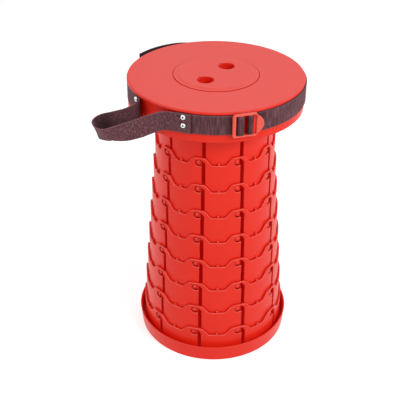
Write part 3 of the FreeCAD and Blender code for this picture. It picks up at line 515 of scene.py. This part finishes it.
# Heights above a ring's underside in millimetres, plain and dressed, and where a cut lets the slot bend
RING_LEVELS = ((0.0, 0.0), (40.0, 39.6), (43.54, 42.3), (45.0, 44.2), (45.94, 45.6), (47.74, 47.74),
               (47.9, 47.9), (49.54, 50.1), (51.94, 53.4), (55.79, 55.79))
CUT_HEIGHT = 0.0479
# Of the dressed ring: the slot's sides, its slanted end, and what the pocket's corner and the radius gain
SLOT_NARROW = 0.0029
SLOT_CORNER = 0.0026
CORNER_LONGER = 0.0009
RING_WIDER = 0.0010
# Points nearer than this to an edge of the slot belong to it
ON_EDGE = 0.00005
# Pins stand out of the wall by more than the one and end below the other
PIN_PROUD = 0.0002
PIN_TOP = 0.010
# The largest ring's feet keep their reach from here on, inside the base
FEET_START = 0.117
# Below this agreement with its face, a corner takes the face's normal
NORMAL_AGREES = 0.94


def level(height):
    """Height of a point of a dressed ring, from its height in the plain one."""
    height *= 1000.0
    for (low, low_to), (high, high_to) in zip(RING_LEVELS, RING_LEVELS[1:]):
        if height <= high:
            return (low_to + (high_to - low_to) * (height - low) / (high - low)) / 1000.0
    return height / 1000.0


def slot_side(side, height, pocket_end):
    """Distance of a dressed ring's point from its slot's middle, from its place in the plain ring."""
    if abs(side - SLOT_EDGE) < ON_EDGE:
        return -SLOT_CORNER if height > BELOW_SLOT_TOP else SLOT_NARROW
    if abs(side + SLOT_EDGE) < ON_EDGE and height < ABOVE_POCKET_FLOOR:
        return -SLOT_NARROW
    if abs(side - pocket_end - POCKET_CORNER) < ON_EDGE and ROUND_POCKET[0] < height < ROUND_POCKET[1]:
        return side + CORNER_LONGER
    return side


def build_ring(name, number, material):
    """A ring with the photo's narrower slots, slanted at their ends, larger pockets and wider radius.

    The points of the plain ring move, and each corner's normal turns with its point.
    """
    radius = RING_RADIUS - (RING_COUNT - number) * RING_STEP
    pocket_end = -radius * math.sin(math.radians(POCKET_TURN)) - POCKET_HALF
    plain = frame["nodes"][name].data.copy()
    kept = plain.attributes.new("plain_normal", "FLOAT_VECTOR", "CORNER")
    kept.data.foreach_set("vector", [part for corner in plain.corner_normals for part in corner.vector])
    work = bmesh.new()
    work.from_mesh(plain)
    bpy.data.meshes.remove(plain)
    normals = work.loops.layers.float_vector["plain_normal"]
    bmesh.ops.remove_doubles(work, verts=work.verts, dist=1e-6)
    bottom = min(vertex.co.z for vertex in work.verts)
    everything = work.verts[:] + work.edges[:] + work.faces[:]
    cut = (0, 0, bottom + CUT_HEIGHT)
    bmesh.ops.bisect_plane(work, geom=everything, dist=1e-7, plane_co=cut, plane_no=UP)

    for vertex in work.verts:
        height, reach = vertex.co.z - bottom, math.hypot(vertex.co.x, vertex.co.y)
        angle = math.degrees(math.atan2(vertex.co.y, vertex.co.x))
        slot = FIRST_SLOT + SLOT_PITCH * round((angle - FIRST_SLOT) / SLOT_PITCH)
        side = reach * math.sin(math.radians(angle - slot))
        on_pin = number < RING_COUNT and reach > radius + PIN_PROUD and height < PIN_TOP
        rise = height if on_pin else level(height)
        if not on_pin:
            side = slot_side(side, height, pocket_end)
        turn = math.radians(slot) + math.asin(side / reach)
        swing = Matrix.Rotation(turn - math.radians(angle), 3, "Z")
        for loop in vertex.link_loops:
            loop[normals] = swing @ loop[normals]
        if reach < FEET_START:
            reach += RING_WIDER
        vertex.co = (reach * math.cos(turn), reach * math.sin(turn), bottom + rise)

    work.normal_update()
    for face in work.faces:
        for loop in face.loops:
            if face.normal.dot(loop[normals]) < NORMAL_AGREES:
                loop[normals] = face.normal
    mesh = bpy.data.meshes.new(f"{name}_dressed")
    work.to_mesh(mesh)
    work.free()
    piece = add_piece(f"{name}_dressed", mesh, material)
    turned = [item.vector.normalized() for item in mesh.attributes["plain_normal"].data]
    mesh.normals_split_custom_set(turned)
    mesh.attributes.remove(mesh.attributes["plain_normal"])
    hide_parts(name)
    return piece


def build_buckle(material):
    """The ladder buckle with rounded edges: a frame, two bars and a round tab on its right."""
    # Half its height, its left side, where its right side turns in, and the tab's neck and tip
    half, left, shoulder, neck, neck_half, tip = 0.0172, 0.0194, 0.0136, 0.0172, 0.0124, 0.0250
    # Half the height of its windows and their sides, and the rounding of its left corners
    window, corner = 0.0143, 0.0034
    windows = ((-0.0148, -0.0100), (-0.0050, 0.0038), (0.0080, 0.0140))
    corner_parts, tab_parts = 4, 16

    outline = []
    for middle, start in ((half - corner, 90.0), (corner - half, 180.0)):
        for part in range(corner_parts + 1):
            angle = math.radians(start + 90.0 * part / corner_parts)
            outline.append((corner - left + corner * math.cos(angle), middle + corner * math.sin(angle)))
    outline.append((shoulder, -half))
    centre = (tip * tip - neck * neck - neck_half * neck_half) / (2.0 * (tip - neck))
    spread = math.atan2(neck_half, neck - centre)
    for part in range(tab_parts + 1):
        angle = spread * (2.0 * part / tab_parts - 1.0)
        outline.append((centre + (tip - centre) * math.cos(angle), (tip - centre) * math.sin(angle)))
    outline.append((shoulder, half))

    curve = bpy.data.curves.new("buckle", "CURVE")
    curve.dimensions = "2D"
    curve.fill_mode = "BOTH"
    curve.extrude, curve.bevel_depth, curve.bevel_resolution = BUCKLE_CORE, BUCKLE_BEVEL, 3
    curve.offset = -BUCKLE_BEVEL
    loops = [outline]
    loops += [[(low, -window), (low, window), (high, window), (high, -window)] for low, high in windows]
    for loop in loops:
        spline = curve.splines.new("POLY")
        spline.points.add(len(loop) - 1)
        for point, (x, y) in zip(spline.points, loop):
            point.co = (x, y, 0.0, 1.0)
        spline.use_cyclic_u = True
    shape = bpy.data.objects.new("buckle_curve", curve)
    scene.collection.objects.link(shape)
    mesh = bpy.data.meshes.new_from_object(shape.evaluated_get(bpy.context.evaluated_depsgraph_get()))
    bpy.data.objects.remove(shape)
    for vertex in mesh.vertices:
        along, up, out = vertex.co
        place = buckle_point(along, BUCKLE_BACK + BUCKLE_CORE + BUCKLE_BEVEL + out)
        vertex.co = (place.x, place.y, STRAP_MIDDLE + up)
    piece = add_piece("ladder_buckle", mesh, material)
    mesh.set_sharp_from_angle(angle=math.radians(35.0))
    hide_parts("buckle")
    return piece


def build_buckle_ledge(material):
    """A recessed ledge of the buckle, between its right bar and its tab."""
    sides, depths, heights = (0.0100, 0.0146), (0.0009, 0.0021), (-0.0146, 0.0146)
    corners = [buckle_point(along, BUCKLE_BACK + out) for along in sides for out in depths]
    vertices = [(place.x, place.y, STRAP_MIDDLE + up) for up in heights for place in corners]
    faces = [(0, 1, 3, 2), (4, 6, 7, 5), (0, 4, 5, 1), (2, 3, 7, 6), (1, 5, 7, 3), (0, 2, 6, 4)]
    return add_solid("buckle_ledge", vertices, faces, material, flat=True)


# A rivet cap: radius and rise above the webbing of its round profile, how many sides it has, and its gap
CAP_PROFILE = ((0.00112, 0.0002), (0.00112, 0.0013), (0.0015, 0.0018), (0.0022, 0.0019), (0.0030, 0.0016),
               (0.0035, 0.0010), (0.0037, 0.0003), (0.0037, 0.0))
CAP_SIDES = 24
CAP_GAP = 0.00012


def build_rivet_caps(material):
    """Domed rims of the tubular rivets, over the rivets' flat heads."""
    rings = len(CAP_PROFILE)
    vertices, faces = [], []
    for turn, layer in ((FRONT_RIVETS, LAYERS[2]), (REAR_RIVETS, LAYERS[1])):
        outward = around(1.0, turn, 0.0)
        sideways = UP.cross(outward)
        face = layer + STRAP_WALL / 2 + CAP_GAP
        for height in RIVET_HEIGHTS:
            first = len(vertices)
            for radius, rise in CAP_PROFILE:
                middle = outward * (face + rise) + UP * height
                for side in range(CAP_SIDES):
                    angle = 2.0 * math.pi * side / CAP_SIDES
                    vertices.append(middle + (sideways * math.cos(angle) + UP * math.sin(angle)) * radius)
            for ring in range(rings):
                low, high = first + ring * CAP_SIDES, first + (ring + 1) % rings * CAP_SIDES
                for side in range(CAP_SIDES):
                    after = (side + 1) % CAP_SIDES
                    faces.append((low + side, high + side, high + after, low + after))
    return add_solid("rivet_caps", vertices, faces, material)


red = red_plastic()
# The seat and cap take painted shade from further away, deep into the finger holes, and a dark joint line
# between them.
seat_red = red_plastic("seat_plastic", reach=0.020, clear=0.95, seam=SEAM)
# The rings' plastic has brighter painted edge highlights, kept clear of the painted crevice shade.
ring_red = red_plastic("ring_plastic", lips=0.9, glint=0.9)
# The buckle's plastic is painted paler all over with the highlight colour, as if lit more strongly.
buckle_red = red_plastic("buckle_plastic", pale=0.35)
tape = webbing("belt_webbing", (700.0, 50.0, 1.0))
handle_tape = webbing("handle_webbing", (650.0, 240.0, 1.0), lift=1.3)
nickel = plated("nickel_plate", (0.80, 0.82, 0.80), 0.12, (1.0, 1.0, 1.0))
steel = plated("screw_steel", (0.55, 0.55, 0.56), 0.34, (1.0, 1.0, 6.0))
finishes = {"red_plastic": red, "webbing": tape, "nickel_plate": nickel, "screw_steel": steel}

for entry in frame["record"]["subparts"]:
    node = frame["nodes"][entry["node"]]
    finish = seat_red if entry["node"] in ("seat", "centre_cap") else finishes[entry["material_slot"]]
    for place in node.material_slots:
        place.link = "OBJECT"
        place.material = finish

for number in range(2, RING_COUNT + 1):
    ring = build_ring(f"ring_{number:02d}", number, ring_red)
    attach(ring, "base" if number == 10 else f"ring_{number:02d}")
buckle = build_buckle(buckle_red)
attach(buckle, "seat")
# The recessed ledge takes the plain red, without the buckle's painted highlight.
ledge = build_buckle_ledge(red)
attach(ledge, "seat")
caps = build_rivet_caps(nickel)
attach(caps, "seat")
for piece in (build_belt(tape), build_buckle_strap(tape), build_handle(handle_tape)):
    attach(piece, "seat")


def build_floor():
    """A white floor, just below the stool, bright where it is seen and dimmer as light."""
    height, reach = -0.0002, 9.0
    shader = Shader("floor")
    speckle = shader.noise(shader.mapped(), 40.0)
    shader.drive(Base_Color=shader.ramp(speckle, [(0.0, (0.66, 0.66, 0.66)), (1.0, (0.68, 0.68, 0.68))]),
                 Emission_Strength=shader.span(shader.seen(), 0.20, 0.66))
    shader.set(Roughness=0.9, Specular_IOR_Level=0.0, Emission_Color=(1.0, 1.0, 1.0, 1.0))
    corners = [(x * reach, y * reach, height) for x, y in ((-1, -1), (1, -1), (1, 1), (-1, 1))]
    floor = add_solid("floor", corners, [(0, 1, 2, 3)], shader.material, flat=True)


def build_world():
    """White surroundings, bright where they are seen and dimmer as light."""
    world = bpy.data.worlds.new("studio")
    world.use_nodes = True
    scene.world = world
    sky = Nodes(world.node_tree)
    background = sky.tree.nodes["Background"]
    background.inputs["Color"].default_value = (1.0, 1.0, 1.0, 1.0)
    sky.link(sky.span(sky.seen(), 0.37, 0.95), background.inputs["Strength"])


def add_lamp(name, place, target, size, power):
    """A rectangular lamp that faces a target; its power is in watts."""
    light = bpy.data.lights.new(name, "AREA")
    light.shape = "RECTANGLE"
    light.size, light.size_y = size
    light.energy = power
    lamp = bpy.data.objects.new(name, light)
    lamp.location = place
    lamp.rotation_euler = (Vector(target) - Vector(place)).to_track_quat("-Z", "Y").to_euler()
    scene.collection.objects.link(lamp)


def build_camera():
    """The photo's camera, fitted to the rims, rings and seat that it shows."""
    place, dip, roll = (-0.02265, -1.0895, 0.925), 32.49, 0.28
    camera = bpy.data.cameras.new("camera")
    camera.sensor_width = 36.0
    camera.lens = 72.47
    camera.sensor_fit = "HORIZONTAL"
    item = bpy.data.objects.new("camera", camera)
    turn = Matrix.Rotation(math.radians(90.0 - dip), 4, "X") @ Matrix.Rotation(math.radians(roll), 4, "Z")
    item.matrix_world = Matrix.Translation(place) @ turn
    scene.collection.objects.link(item)
    scene.camera = item


build_floor()
build_world()
add_lamp("key", place=(1.12, -1.12, 1.36), target=(0, 0, 0.28), size=(0.8, 0.6), power=16.2)
add_lamp("fill", place=(-1.4, -0.6, 1.0), target=(0, 0, 0.25), size=(1.0, 1.0), power=6.2)
add_lamp("back", place=(0.3, 1.4, 1.6), target=(0, 0, 0.4), size=(1.4, 0.8), power=6.0)
build_camera()
